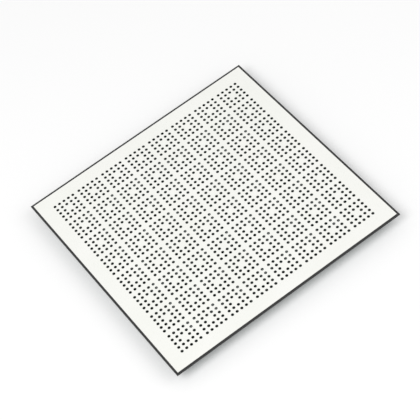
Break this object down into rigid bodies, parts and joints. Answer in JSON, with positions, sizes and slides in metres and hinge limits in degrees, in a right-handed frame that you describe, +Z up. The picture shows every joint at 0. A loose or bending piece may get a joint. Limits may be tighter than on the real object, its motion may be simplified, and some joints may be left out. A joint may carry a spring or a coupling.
{
  "type": "perforated raised floor tile",
  "caption": "Square raised access floor tile: a perforated, laminate faced steel plate with black edge trim over a domed pressed steel pan.",
  "frame": {"origin": "centre of the tile at the level of the pan's flat foot", "axes": "+Z up through the walking face, X and Y along the tile's edges"},
  "size_m": [0.6, 0.6, 0.035],
  "materials": {
    "faced_steel": "steel plate with a bonded warm white laminate facing, satin",
    "coated_steel": "grey-green epoxy powder coat on pressed sheet steel, low sheen",
    "edge_trim": "black extruded PVC, satin"
  },
  "bodies": {
    "root": {"top_plate": "faced_steel", "bottom_pan": "coated_steel", "trim_front": "edge_trim", "trim_back": "edge_trim", "trim_left": "edge_trim", "trim_right": "edge_trim"}
  },
  "joints": []
}
